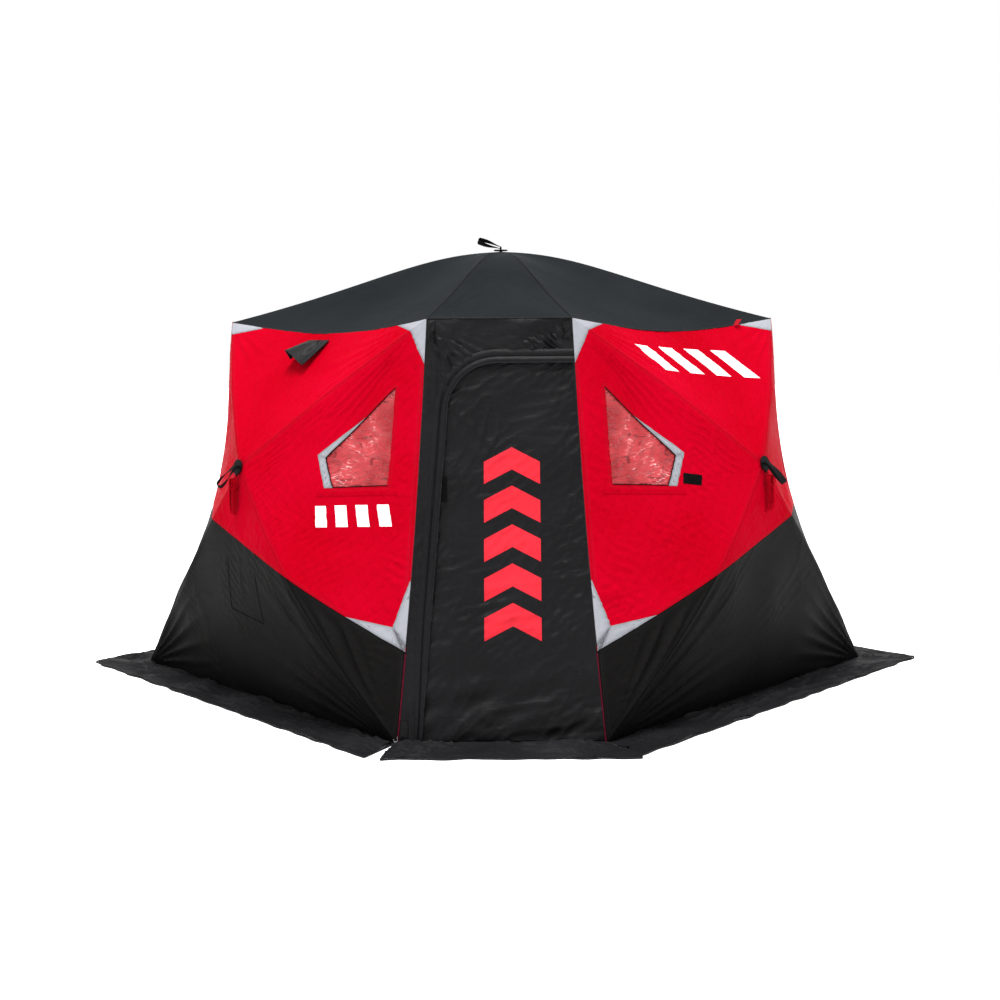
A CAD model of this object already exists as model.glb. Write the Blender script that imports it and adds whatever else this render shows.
"""Looks of a six-sided pop-up ice fishing shelter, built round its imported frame. Metres, +Z up."""

import math

import bmesh
import bpy
import numpy as np
from mathutils import Matrix, Vector
from mathutils.bvhtree import BVHTree


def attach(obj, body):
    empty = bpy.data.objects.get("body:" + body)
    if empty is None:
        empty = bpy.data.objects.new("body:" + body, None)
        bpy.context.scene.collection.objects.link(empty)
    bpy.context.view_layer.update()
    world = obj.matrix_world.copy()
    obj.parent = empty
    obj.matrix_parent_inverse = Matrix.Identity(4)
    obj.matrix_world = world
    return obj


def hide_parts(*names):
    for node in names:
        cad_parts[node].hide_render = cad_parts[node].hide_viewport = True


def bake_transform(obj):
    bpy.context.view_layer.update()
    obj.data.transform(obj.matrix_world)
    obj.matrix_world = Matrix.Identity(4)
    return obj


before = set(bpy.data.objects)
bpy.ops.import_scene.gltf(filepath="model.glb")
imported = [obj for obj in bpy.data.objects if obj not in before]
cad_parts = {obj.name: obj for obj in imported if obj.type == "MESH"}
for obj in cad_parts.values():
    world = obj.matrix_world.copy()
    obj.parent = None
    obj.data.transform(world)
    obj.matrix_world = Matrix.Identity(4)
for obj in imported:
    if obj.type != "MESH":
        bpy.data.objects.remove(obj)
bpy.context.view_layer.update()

# ---------------------------------------------------------------- dimensions, the frame's own

# Wall corners on the floor and at the eave, and the peak
DOOR_FOOT_HALF = 0.415
DOOR_TOP_HALF = 0.305
FOOT_FRONT = 1.60
FOOT_SIDE = 1.76
TOP_SIDE = 1.335
EAVE_Z = 1.69
PEAK_Z = 2.03
TOP_FRONT = (TOP_SIDE - DOOR_TOP_HALF) * FOOT_FRONT / (FOOT_SIDE - DOOR_FOOT_HALF)

# How far the cloth bulges at the hubs, is pulled in along its edges and bows over its poles
HUB_BULGE = 0.30
HUB_LIFT = 0.03
SIDE_TUCK = 0.125
SIDE_TUCK_POWER = 1.2
SEAM_TUCK = 0.012
EAVE_SAG = 0.060
EAVE_TUCK = 0.040
WALL_BOWS = (0.090, 0.020, 0.020, 0.020)
ROOF_BOW = 0.042
ROOF_BOW_SKEW = 2.2

# The seam between red and black: heights at both edges, and shares of the way up both lower poles
COLOUR_AT_DOOR = 0.362
COLOUR_AT_POLES = (0.570, 0.755)
COLOUR_AT_SIDE = 0.812

# The window's corners, anticlockwise in the wall's plane
WINDOW = ((0.295, 1.416), (0.240, 1.006), (0.475, 0.968), (0.544, 1.090))

# The zip and the leaf, in the door's plane
ZIP_FOOT = -0.325
ZIP_LEAN = 0.075
LEAF_TOP = 1.545
LEAF_FOOT = 0.015
ARCH_RADIUS = 0.215
ZIP_GAP = 0.004
SEAM_CLEAR = 0.004
ZIP_PULL_UP = 1.077

# Poles and pull straps
PIVOT_DEPTH = 0.034
PIVOT_OUT_WALL = 0.062
PIVOT_OUT_ROOF = 0.075
POLE_DEPTH = 0.013
POLE_RADIUS = 0.0055
POLE_EASE = 0.30
TIP_RING = 0.08
BAR_HEIGHT = 0.020
LOOP_REACH = 0.110
WALL_STRAP_SWING = 46.0
ROOF_STRAP_SWING = 72.0

# Snow skirt: its widths, and how its strips end
SKIRT = 0.215
SKIRT_DOOR = 0.228
SKIRT_SEWN = 0.012
SKIRT_TURNED_UP = 0.009
SKIRT_END_GAP = 0.020
SKIRT_END_FLARE = 0.078
SKIRT_DOOR_FLARE = 0.048
SKIRT_DOOR_LAP = 0.128

# Vent hood on the left front wall
VENT_AT = (1.040, 1.628)
VENT_HALF = 0.085
VENT_DROP = 0.130
VENT_DOOR_DROP = 0.168
VENT_SLANT = 0.010
VENT_LIP_SHARE = 0.9
VENT_OPEN = 14.0
# Where its top face turns down into its side, from -1 to 1 across it
VENT_FOLD = 0.60

# Trim: radii of the piping, thickness of patches, how far the flap reaches over the zip, pole ends
EAVE_BEAD = 0.0032
FOOT_BEAD = 0.0030
DOOR_BEAD = 0.0029
SIDE_BEAD = 0.0026
PATCH = 0.0006
FLAP_IN = 0.007
FLAP_OUT = 0.052
FERRULE_WALL = 0.0012
TIP_WALL = 0.0022

# Grid steps of the cloth: a wall's four panels, the roof and the window film
STEPS = (0.012, 0.018, 0.016, 0.011)
ROOF_STEP = 0.018
FILM_STEP = 0.006

# Thickness of the cloth, how far a sewn-on piece lies over it, and how near a cut snaps to a point
CLOTH = 0.0022
LIFT = 0.0007
SNAP = 1e-5

# How far up the panels reach to their hub, and the stretch of them that bends between shell and hub
HUB_SHARE = 0.985
BLEND_FROM = 0.13
BLEND_TO = 0.93

# Diamond quilting: the pitch and slant of its stitch lines
QUILT = 0.052
QUILT_LEAN = math.radians(33)


def vec(*numbers):
    return np.array(numbers, float)


def unit(v):
    return v / np.linalg.norm(v)


def smooth_step(x):
    x = np.clip(x, 0.0, 1.0)
    return x * x * (3 - 2 * x)


# ---------------------------------------------------------------- camera, floor and light


def add_object(name, data, place=Matrix()):
    """A new object in the scene."""
    holder = bpy.data.objects.new(name, data)
    holder.matrix_world = place
    bpy.context.scene.collection.objects.link(holder)
    return holder


def make_camera():
    camera = bpy.data.cameras.new("camera")
    camera.sensor_width = 36.0
    camera.lens = 56.77
    camera.shift_y = -0.167
    yaw, roll = -0.0075, 0.0075
    stand = Matrix.Translation((0.0520, -7.8341, 1.6269))
    turn = Matrix.Rotation(-yaw, 4, "Z") @ Matrix.Rotation(math.radians(90), 4, "X")
    bpy.context.scene.camera = add_object("camera", camera, stand @ turn @ Matrix.Rotation(-roll, 4, "Z"))


def make_light(name, kind, energy, place, target, size):
    light = bpy.data.lights.new(name, kind)
    light.energy = energy
    if kind == "AREA":
        light.shape = "DISK"
        light.size = size
    else:
        light.angle = size
    aim = (Vector(target) - Vector(place)).to_track_quat("-Z", "Y")
    add_object(name, light, Matrix.Translation(place) @ aim.to_matrix().to_4x4())


def make_floor():
    floor = bpy.data.meshes.new("floor")
    reach = 40.0
    corners = [(-reach, -reach, 0), (reach, -reach, 0), (reach, reach, 0), (-reach, reach, 0)]
    floor.from_pydata(corners, [], [(0, 1, 2, 3)])
    material = bpy.data.materials.new("pale_floor")
    material.use_nodes = True
    shader = material.node_tree.nodes["Principled BSDF"]
    shader.inputs["Base Color"].default_value = (0.86, 0.86, 0.86, 1.0)
    shader.inputs["Roughness"].default_value = 0.9
    shader.inputs["Specular IOR Level"].default_value = 0.1
    floor.materials.append(material)
    add_object("floor", floor, Matrix.Translation((0, 0, -0.0005)))


def make_studio():
    world = bpy.data.worlds.new("studio")
    world.use_nodes = True
    background = world.node_tree.nodes["Background"]
    background.inputs["Color"].default_value = (1.0, 1.0, 1.0, 1.0)
    background.inputs["Strength"].default_value = 1.0
    bpy.context.scene.world = world
    bpy.context.scene.view_settings.view_transform = "Standard"
    make_light("overhead", "SUN", 6.5, (0, -0.5, 6.0), (0, 0, 0), math.radians(30))
    make_light("front_high", "AREA", 90.0, (-2.2, -5.5, 4.8), (0, 0, 1.1), 1.6)
    make_floor()


# ---------------------------------------------------------------- materials


class Look:
    """A procedural material: a Principled shader, and small helpers that add the nodes before it."""

    def __init__(self, name, coordinates="cloth"):
        self.material = bpy.data.materials.new(name)
        self.material.use_nodes = True
        self.tree = self.material.node_tree
        self.shader = self.tree.nodes["Principled BSDF"]
        self.height = None
        if coordinates == "object":
            self.where = self.tree.nodes.new("ShaderNodeTexCoord").outputs["Object"]
        else:
            self.where = self.attribute(coordinates)

    def attribute(self, name):
        node = self.tree.nodes.new("ShaderNodeAttribute")
        node.attribute_name = name
        return node.outputs["Vector"]

    def join(self, source, socket):
        if isinstance(source, bpy.types.NodeSocket):
            self.tree.links.new(source, socket)
        else:
            socket.default_value = source

    def math(self, operation, first, second=0.0, third=0.0):
        node = self.tree.nodes.new("ShaderNodeMath")
        node.operation = operation
        for socket, source in zip(node.inputs, (first, second, third)):
            self.join(source, socket)
        return node.outputs[0]

    def parts(self, vector=None):
        node = self.tree.nodes.new("ShaderNodeSeparateXYZ")
        self.join(vector or self.where, node.inputs[0])
        return node.outputs

    def stretched(self, scale, turn=0.0):
        node = self.tree.nodes.new("ShaderNodeMapping")
        self.join(self.where, node.inputs["Vector"])
        node.inputs["Rotation"].default_value = (0, 0, turn)
        node.inputs["Scale"].default_value = scale
        return node.outputs[0]

    def noise(self, scale, detail=3.0, vector=None, roughness=0.5, distortion=0.0):
        node = self.tree.nodes.new("ShaderNodeTexNoise")
        self.join(vector or self.where, node.inputs["Vector"])
        node.inputs["Scale"].default_value = scale
        node.inputs["Detail"].default_value = detail
        node.inputs["Roughness"].default_value = roughness
        node.inputs["Distortion"].default_value = distortion
        return node.outputs["Fac"]

    def span(self, value, low, high, to_low, to_high):
        node = self.tree.nodes.new("ShaderNodeMapRange")
        for socket, source in zip(node.inputs[:5], (value, low, high, to_low, to_high)):
            self.join(source, socket)
        return node.outputs[0]

    def mix(self, share, first, second):
        node = self.tree.nodes.new("ShaderNodeMix")
        node.data_type = "RGBA"
        self.join(share, node.inputs["Factor"])
        for socket, source in ((node.inputs["A"], first), (node.inputs["B"], second)):
            self.join(source, socket)
        return node.outputs["Result"]

    def graded(self, value, low, high, first, second):
        """The first colour where the value is low, the second where it is high."""
        return self.mix(self.span(value, low, high, 0.0, 1.0), first, second)

    def ripple(self, x_rate, y_rate):
        """A sine wave over the cloth, from its radians per metre along both axes."""
        x, y, _ = self.parts()
        phase = self.math("ADD", self.math("MULTIPLY", x, x_rate), self.math("MULTIPLY", y, y_rate))
        return self.math("SINE", phase)

    def bump(self, height, distance, strength=1.0):
        node = self.tree.nodes.new("ShaderNodeBump")
        node.inputs["Distance"].default_value = distance
        node.inputs["Strength"].default_value = strength
        self.join(height, node.inputs["Height"])
        if self.height:
            self.join(self.height, node.inputs["Normal"])
        self.height = node.outputs[0]

    def weave(self, pitch, distance):
        """Plain weave: two sets of threads crossing at right angles."""
        rate = 2 * math.pi / pitch
        self.bump(self.math("MULTIPLY", self.ripple(rate, 0.0), self.ripple(0.0, rate)), distance, 0.6)

    def quilting(self, distance):
        """Diamond quilting: puffed diamonds between two sets of slanted stitch lines."""
        level = math.cos(QUILT_LEAN) * math.pi / QUILT
        rising = math.sin(QUILT_LEAN) * math.pi / QUILT
        first = self.math("ABSOLUTE", self.ripple(level, rising))
        second = self.math("ABSOLUTE", self.ripple(level, -rising))
        puff = self.math("POWER", self.math("MULTIPLY", first, second), 0.45)
        self.bump(puff, distance, 0.9)
        return self.math("MINIMUM", first, second)

    def stitches(self, rows=(0.006, 0.0125), stitch=0.0045, half=0.0007):
        """Rows of stitches beside each sewn border: 1 on the thread."""
        distance, run, _ = self.parts(self.attribute("border"))
        dash = self.math("LESS_THAN", self.math("FRACT", self.math("DIVIDE", run, stitch)), 0.62)
        lines = None
        for row in rows:
            near = self.math("LESS_THAN", self.math("ABSOLUTE", self.math("SUBTRACT", distance, row)), half)
            lines = near if lines is None else self.math("MAXIMUM", lines, near)
        return self.math("MULTIPLY", lines, dash)

    def seam_shade(self):
        """The cloth beside a sewn border is pressed down and a little darker: 1 at the border."""
        distance, _, _ = self.parts(self.attribute("border"))
        return self.span(distance, 0.0, 0.009, 1.0, 0.0)

    def done(self, colour, roughness, **constants):
        self.join(colour, self.shader.inputs["Base Color"])
        self.join(roughness, self.shader.inputs["Roughness"])
        for name, value in constants.items():
            self.shader.inputs[name.replace("_", " ")].default_value = value
        if self.height:
            self.join(self.height, self.shader.inputs["Normal"])
        return self.material


def rgb(red, green, blue):
    return (red, green, blue, 1.0)


def scaled(colour, factor, added=0.0):
    return tuple(min(1.0, factor * c + added) for c in colour[:3]) + (1.0,)


def cloth_look(
    name, dark, light, rough, quilted=False, sewn=True, specular=0.0, crinkle=0.0012, seam_dark=0.35
):
    look = Look(name)
    broad = look.noise(2.2, 3.0)
    fine = look.noise(60.0, 4.0, roughness=0.65)
    tone = look.math("ADD", look.math("MULTIPLY", broad, 0.65), look.math("MULTIPLY", fine, 0.35))
    colour = look.graded(tone, 0.3, 0.7, dark, light)
    creases = look.noise(9.0, 5.0, look.stretched((1.0, 2.6, 1.0), 0.5), 0.6, 0.8)
    look.bump(creases, crinkle, 0.8)
    if quilted:
        line = look.quilting(0.0010)
        seam = look.span(line, 0.0, 0.08, 0.07, 0.0)
        colour = look.mix(seam, colour, scaled(dark, 0.35))
    look.weave(0.0011, 0.00012)
    if sewn:
        thread = look.stitches()
        look.bump(thread, 0.0006, 0.8)
        look.bump(look.math("MULTIPLY", look.seam_shade(), -1.0), 0.0010, 0.7)
        colour = look.mix(look.math("MULTIPLY", look.seam_shade(), seam_dark), colour, scaled(dark, 0.25))
        colour = look.mix(look.math("MULTIPLY", thread, 0.8), colour, scaled(light, 0.5, 0.01))
    roughness = look.span(fine, 0.3, 0.7, rough - 0.06, rough + 0.08)
    return look.done(colour, roughness, Specular_IOR_Level=specular)


def film_look():
    """Clear flexible film: it takes the red of the cloth inside, with dark folds and white gleams."""
    look = Look("window_film")
    cloud = look.noise(6.0, 3.0, distortion=0.6)
    slanted = look.stretched((1.0, 3.4, 1.0), -0.9)
    colour = look.graded(cloud, 0.3, 0.7, rgb(0.24, 0.011, 0.015), rgb(0.45, 0.050, 0.058))
    dark = look.noise(9.0, 4.0, slanted, 0.55, 1.8)
    colour = look.mix(look.span(dark, 0.56, 0.66, 0.0, 0.75), colour, rgb(0.10, 0.002, 0.004))
    gleam = look.noise(8.0, 2.0, slanted, 0.5, 2.0)
    line = look.span(look.math("ABSOLUTE", look.math("SUBTRACT", gleam, 0.5)), 0.004, 0.012, 1.0, 0.0)
    bright = look.math("MULTIPLY", line, look.span(cloud, 0.50, 0.60, 0.0, 1.0))
    colour = look.mix(look.math("MULTIPLY", bright, 0.75), colour, rgb(0.92, 0.62, 0.62))
    look.bump(dark, 0.008, 0.9)
    look.bump(gleam, 0.004, 0.8)
    roughness = look.span(cloud, 0.3, 0.7, 0.08, 0.18)
    return look.done(colour, roughness, Alpha=0.80, Specular_IOR_Level=0.35)


def plastic_look(name, dark, light, rough, grain=900.0):
    look = Look(name, "object")
    speck = look.noise(grain, 2.0)
    wear = look.noise(40.0, 5.0, roughness=0.7)
    colour = look.graded(wear, 0.45, 0.75, dark, light)
    look.bump(speck, 0.00012, 0.6)
    return look.done(colour, look.span(wear, 0.3, 0.7, rough - 0.08, rough + 0.12), Specular_IOR_Level=0.05)


def pole_look():
    look = Look("pole_fibreglass")
    strand = look.noise(300.0, 3.0, look.stretched((0.02, 1.0, 1.0)))
    colour = look.graded(strand, 0.35, 0.65, rgb(0.018, 0.018, 0.020), rgb(0.06, 0.06, 0.064))
    look.bump(strand, 0.0001, 0.6)
    return look.done(colour, look.span(strand, 0.3, 0.7, 0.22, 0.38), Coat_Weight=0.3, Coat_Roughness=0.15)


def metal_look(name, tint):
    look = Look(name, "object")
    brushed = look.noise(500.0, 3.0, look.stretched((1.0, 1.0, 0.03)))
    colour = look.mix(brushed, scaled(tint, 0.75), rgb(*tint))
    look.bump(brushed, 0.00008, 0.6)
    return look.done(colour, look.span(brushed, 0.3, 0.7, 0.22, 0.42), Metallic=1.0)


def webbing_look():
    """Slanted ribs that mirror about the middle of the band and fade towards its edges."""
    look = Look("black_webbing")
    x, y, _ = look.parts()
    aside = look.math("ABSOLUTE", y)
    rib = look.math("SINE", look.math("MULTIPLY", look.math("ADD", x, aside), 2 * math.pi / 0.0024))
    edge = look.span(aside, 0.0095, 0.0125, 0.0, 1.0)
    look.bump(look.math("MULTIPLY", rib, look.math("SUBTRACT", 1.0, edge)), 0.0004, 0.9)
    fuzz = look.noise(260.0, 4.0)
    colour = look.graded(fuzz, 0.3, 0.7, rgb(0.003, 0.003, 0.0034), rgb(0.012, 0.012, 0.013))
    return look.done(colour, 0.72, Specular_IOR_Level=0.03)


def rope_look():
    """Braided cord: two sets of strands that wind about it in opposite ways."""
    look = Look("red_cord")
    rate = 2 * math.pi / 0.006
    braid = look.math("MULTIPLY", look.ripple(rate, 6.0), look.ripple(rate, -6.0))
    look.bump(braid, 0.0005, 0.9)
    colour = look.graded(braid, -1.0, 1.0, rgb(0.11, 0.0006, 0.0022), rgb(0.30, 0.0018, 0.0068))
    return look.done(colour, 0.7, Specular_IOR_Level=0.0)


LOOKS = {}


# Key, material, dark and light colour, roughness, and what differs from a plain sewn cloth
CLOTHS = (
    ("red", "quilted_red", (0.255, 0.0002, 0.0040), (0.345, 0.0006, 0.0110), 0.38,
     {"quilted": True, "specular": 0.001, "crinkle": 0.0022, "seam_dark": 0.20}),
    ("black", "lower_black", (0.0034, 0.0032, 0.0031), (0.0068, 0.0064, 0.0063), 0.42,
     {"specular": 0.009, "seam_dark": 0.7}),
    ("roof", "roof_black", (0.0060, 0.0072, 0.0084), (0.0102, 0.0122, 0.0140), 0.45,
     {"specular": 0.004, "seam_dark": 0.95}),
    ("door", "door_black", (0.0034, 0.0034, 0.0038), (0.0072, 0.0071, 0.0080), 0.38,
     {"specular": 0.06, "crinkle": 0.004, "seam_dark": 0.8}),
    ("skirt", "skirt_black", (0.0040, 0.0040, 0.0044), (0.0100, 0.0100, 0.0109), 0.40,
     {"specular": 0.02, "crinkle": 0.004}),
    ("grey", "grey_reflective", (0.205, 0.210, 0.230), (0.250, 0.257, 0.282), 0.42,
     {"crinkle": 0.0006, "seam_dark": 0.5}),
    ("mark_red", "printed_red", (0.42, 0.015, 0.024), (0.52, 0.022, 0.034), 0.42, {"sewn": False}),
    ("mark_white", "printed_white", (0.62, 0.61, 0.62), (0.74, 0.73, 0.74), 0.42, {"sewn": False}),
    ("trim", "black_binding", (0.002, 0.002, 0.002), (0.005, 0.005, 0.005), 0.55, {"sewn": False}),
)
PLASTICS = (
    ("plastic", "moulded_black", (0.002, 0.002, 0.0022), (0.006, 0.006, 0.0064), 0.42),
    ("piping", "maroon_piping", (0.055, 0.001, 0.008), (0.11, 0.003, 0.014), 0.5),
    ("binding", "edge_binding", (0.008, 0.008, 0.009), (0.020, 0.020, 0.022), 0.6),
    ("red_bead", "red_bead", (0.34, 0.001, 0.006), (0.52, 0.003, 0.012), 0.55),
)


def make_looks():
    for key, name, dark, light, rough, settings in CLOTHS:
        LOOKS[key] = cloth_look(name, rgb(*dark), rgb(*light), rough, **settings)
    for key, name, dark, light, rough in PLASTICS:
        LOOKS[key] = plastic_look(name, rgb(*dark), rgb(*light), rough)
    LOOKS["film"] = film_look()
    LOOKS["pole"] = pole_look()
    LOOKS["ferrule"] = metal_look("ferrule_steel", (0.62, 0.62, 0.64))
    LOOKS["webbing"] = webbing_look()
    LOOKS["rope"] = rope_look()


# ---------------------------------------------------------------- frames, panels and pieces


def grid_triangles(rows, columns):
    """Two triangles for each cell of a grid whose points are numbered row by row."""
    index = np.arange(rows * columns).reshape(rows, columns)
    low, high = index[:-1], index[1:]
    first = np.stack([low[:, :-1], low[:, 1:], high[:, 1:]], -1).reshape(-1, 3)
    second = np.stack([low[:, :-1], high[:, 1:], high[:, :-1]], -1).reshape(-1, 3)
    return np.concatenate([first, second])


def run_along(line):
    """How far each point lies along its line."""
    return np.concatenate([[0], np.cumsum(np.linalg.norm(np.diff(line, axis=0), axis=1))])


def line_length(line):
    return float(np.linalg.norm(np.diff(line, axis=0), axis=1).sum())


def resample(line, count):
    """The line at equal steps."""
    line = np.asarray(line, float)
    run = run_along(line)
    at = np.linspace(0, run[-1], count)
    return np.stack([np.interp(at, run, line[:, i]) for i in range(line.shape[1])], -1)


def at_height(line, height):
    """A line in the plane, lifted to a height over it."""
    return np.column_stack([line, np.full(len(line), height)])


def facing(sheet):
    """The sheet with its triangles anticlockwise in the plane."""
    points, triangles = sheet
    a, b, c = (points[triangles[:, i]][:, :2] for i in range(3))
    turn = (b[:, 0] - a[:, 0]) * (c[:, 1] - a[:, 1]) - (b[:, 1] - a[:, 1]) * (c[:, 0] - a[:, 0])
    return (points, triangles[:, ::-1]) if turn.sum() < 0 else sheet


def lofted(lines):
    """A sheet through a list of lines with as many points each."""
    return facing((np.concatenate(lines), grid_triangles(len(lines), len(lines[0]))))


def between(first, second, shares):
    """A flat sheet between two lines in the plane, with one line of points at each share."""
    return lofted([at_height(first + (second - first) * share, 0.0) for share in shares])


def box_grid(left, right, low, high, step):
    """A flat square grid over a box in the plane."""
    across = np.linspace(left, right, max(2, round((right - left) / step)) + 1)
    up = np.linspace(low, high, max(2, round((high - low) / step)) + 1)
    p, q = np.meshgrid(across, up)
    return np.stack([p.ravel(), q.ravel(), np.zeros(p.size)], -1), grid_triangles(*p.shape)


class Place:
    """A square frame: two axes in the cloth's plane and one out of it."""

    def __init__(self, origin, along, up, out):
        self.origin = origin
        self.axes = np.array([along, up, out])
        self.mirrored = np.linalg.det(self.axes) < 0

    def world(self, points):
        return self.origin + np.asarray(points, float) @ self.axes

    def local(self, points):
        return (np.asarray(points, float) - self.origin) @ self.axes.T


class Panel:
    """A triangle of cloth between two bowed poles, its base edge pulled in by tension."""

    def __init__(self, place, corners, hub, bows, skew, pull, power):
        self.place = place
        self.corners = [vec(*corner) for corner in corners]
        self.hub = hub
        self.bows = bows
        self.skew = skew
        self.pull = pull
        self.power = power

    def ridge(self, side, t):
        t = np.atleast_1d(t)[:, None]
        line = self.corners[side] + (self.hub - self.corners[side]) * t
        return line + vec(0, 0, self.bows[side]) * np.sin(math.pi * t**self.skew)

    def surface(self, s, t):
        s, t = np.atleast_1d(s), np.atleast_1d(t)
        first, second = self.ridge(0, t), self.ridge(1, t)
        share = s[:, None]
        edge = self.pull * np.abs(np.sin(math.pi * share)) ** self.power
        return first + (second - first) * share + (1 - t[:, None]) * edge

    def grid(self, step):
        """(points, triangles) of the whole panel in its own frame."""
        base = np.linalg.norm(self.corners[1] - self.corners[0])
        rise = np.linalg.norm(self.hub - (self.corners[0] + self.corners[1]) / 2)
        columns, rows = max(8, round(base / step)), max(8, round(rise / step))
        s, t = np.meshgrid(np.linspace(0, 1, columns + 1), np.linspace(0, HUB_SHARE, rows + 1))
        return self.surface(s.ravel(), t.ravel()), grid_triangles(*s.shape)

    def borders(self):
        """The three lines round the panel in its own plane."""
        first, second = self.corners[0][:2], self.corners[1][:2]
        hub = self.hub[:2]
        return [(first, second), (second, hub), (hub, first)]

    def blend(self, piece, body):
        """The cloth stays with the shell along its base edge and follows the hub at its apex."""
        first, second = self.corners
        along = unit(second - first)
        foot = first + along * np.dot(self.hub - first, along)
        way = self.hub - foot
        way[2] = 0.0
        start = self.place.world(foot + way * BLEND_FROM)
        end = self.place.world(foot + way * BLEND_TO)
        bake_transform(piece)


def bmesh_of(points, triangles):
    mesh = bpy.data.meshes.new("grid")
    mesh.from_pydata(points.tolist(), [], triangles.tolist())
    bm = bmesh.new()
    bm.from_mesh(mesh)
    bpy.data.meshes.remove(mesh)
    return bm


def whole(bm):
    return bm.verts[:] + bm.edges[:] + bm.faces[:]


def keep_left(bm, start, end):
    """Removes what lies to the right of a line in the plane."""
    run = vec(*end) - vec(*start)
    right = Vector((run[1], -run[0], 0)).normalized()
    bmesh.ops.bisect_plane(
        bm, geom=whole(bm), plane_co=(*start, 0), plane_no=right, dist=SNAP, clear_outer=True
    )


def keep_inside(bm, outline):
    """Keeps what lies in a convex outline, given anticlockwise."""
    for start, end in zip(outline, [*outline[1:], outline[0]]):
        keep_left(bm, start, end)
    return bm


def cut_hole(bm, outline):
    """Removes a convex outline from the sheet."""
    lines = []
    for start, end in zip(outline, [*outline[1:], outline[0]]):
        run = vec(*end) - vec(*start)
        left = Vector((-run[1], run[0], 0)).normalized()
        lines.append((Vector((*start, 0)), left))
        bmesh.ops.bisect_plane(bm, geom=whole(bm), plane_co=(*start, 0), plane_no=left, dist=SNAP)
    inside = [
        face
        for face in bm.faces
        if all((face.calc_center_median() - at).dot(left) > 0 for at, left in lines)
    ]
    bmesh.ops.delete(bm, geom=inside, context="FACES")


def arrays_of(bm):
    """Frees the bmesh and gives its (points, triangles)."""
    bmesh.ops.triangulate(bm, faces=bm.faces)
    bm.verts.index_update()
    points = np.array([vert.co for vert in bm.verts], float).reshape(-1, 3)
    triangles = np.array([[vert.index for vert in face.verts] for face in bm.faces], int).reshape(-1, 3)
    bm.free()
    return points, triangles


def joined(parts):
    """Several (points, triangles) as one."""
    points, triangles, count = [], [], 0
    for some, faces in parts:
        points.append(some)
        triangles.append(faces + count)
        count += len(some)
    return np.concatenate(points), np.concatenate(triangles)


def slab(points, triangles, behind):
    """Closes an open sheet with a second surface behind it."""
    edges = np.concatenate([triangles[:, [0, 1]], triangles[:, [1, 2]], triangles[:, [2, 0]]])
    keys = np.sort(edges, axis=1)
    _, first, uses = np.unique(keys, axis=0, return_index=True, return_counts=True)
    rim = edges[first[uses == 1]]
    count = len(points)
    a, b = rim[:, 0], rim[:, 1]
    sides = np.concatenate([np.stack([b, a, a + count], -1), np.stack([b, a + count, b + count], -1)])
    faces = np.concatenate([triangles, triangles[:, ::-1] + count, sides])
    return np.concatenate([points, behind]), faces


def line_distance(points, start, end):
    """(distance, run) of points in a plane from the line through two of them."""
    along = unit(vec(*end) - vec(*start))
    offset = points - vec(*start)
    return np.abs(offset[:, 0] * along[1] - offset[:, 1] * along[0]), offset @ along


def segment_distance(points, start, end):
    """(distance, run) of points in a plane from the piece of line between two of them."""
    away, run = line_distance(points, start, end)
    beyond = np.maximum(np.maximum(-run, run - np.linalg.norm(vec(*end) - vec(*start))), 0)
    return np.hypot(away, beyond), run


def border_of(points, borders):
    """For each point, its distance to the nearest border and how far along that border it is."""
    best = np.full(len(points), 1.0)
    run = np.zeros(len(points))
    for start, end in borders:
        distance, along = segment_distance(points, start, end)
        nearer = distance < best
        best = np.where(nearer, distance, best)
        run = np.where(nearer, along, run)
    return best, run


def put(name, points, faces, look, cloth, border=None):
    """A new mesh piece in the world, with the cloth's own coordinates for its material."""
    mesh = bpy.data.meshes.new(name)
    mesh.from_pydata(points.tolist(), [], faces.tolist())
    for key, value in (("cloth", cloth), ("border", border)):
        if value is not None:
            rows = np.zeros((len(points), 3), np.float32)
            rows[:, : value.shape[1]] = value
            mesh.attributes.new(key, "FLOAT_VECTOR", "POINT").data.foreach_set("vector", rows.ravel())
    mesh.materials.append(LOOKS[look])
    mesh.shade_smooth()
    mesh.set_sharp_from_angle(angle=math.radians(50))
    obj = add_object(name, mesh)
    return obj


def folded(sheet, relief):
    """The sheet with its folds: each point moved out of the plane."""
    points, triangles = sheet
    moved = points.copy()
    moved[:, 2] += relief(points[:, 0], points[:, 1])
    return moved, triangles


def cloth_piece(name, place, sheet, look, borders, lift=0.0, thick=CLOTH):
    """One piece of cloth with a thickness, from an open sheet in its place's frame."""
    points, triangles = sheet
    border, run = border_of(points[:, :2], borders)
    front = points + vec(0, 0, lift)
    solid, faces = slab(front, triangles, front - vec(0, 0, thick))
    if place.mirrored:
        faces = faces[:, ::-1]
    twice = np.concatenate([points[:, :2], points[:, :2]])
    edge = np.stack([np.tile(border, 2), np.tile(run, 2)], -1)
    obj = put(name, place.world(solid), faces, look, twice, edge)
    return obj


def bead(name, line, radius, look, body="root"):
    """A cord-like trim along a line of points."""
    curve = bpy.data.curves.new(name, "CURVE")
    curve.dimensions = "3D"
    curve.bevel_depth = radius
    curve.bevel_resolution = 2
    curve.use_fill_caps = True
    spline = curve.splines.new("POLY")
    spline.points.add(len(line) - 1)
    for point, place in zip(spline.points, line):
        point.co = (*place, 1.0)
    curve.materials.append(LOOKS[look])
    obj = add_object(name, curve)
    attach(obj, body)


# ---------------------------------------------------------------- folds in the cloth


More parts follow.
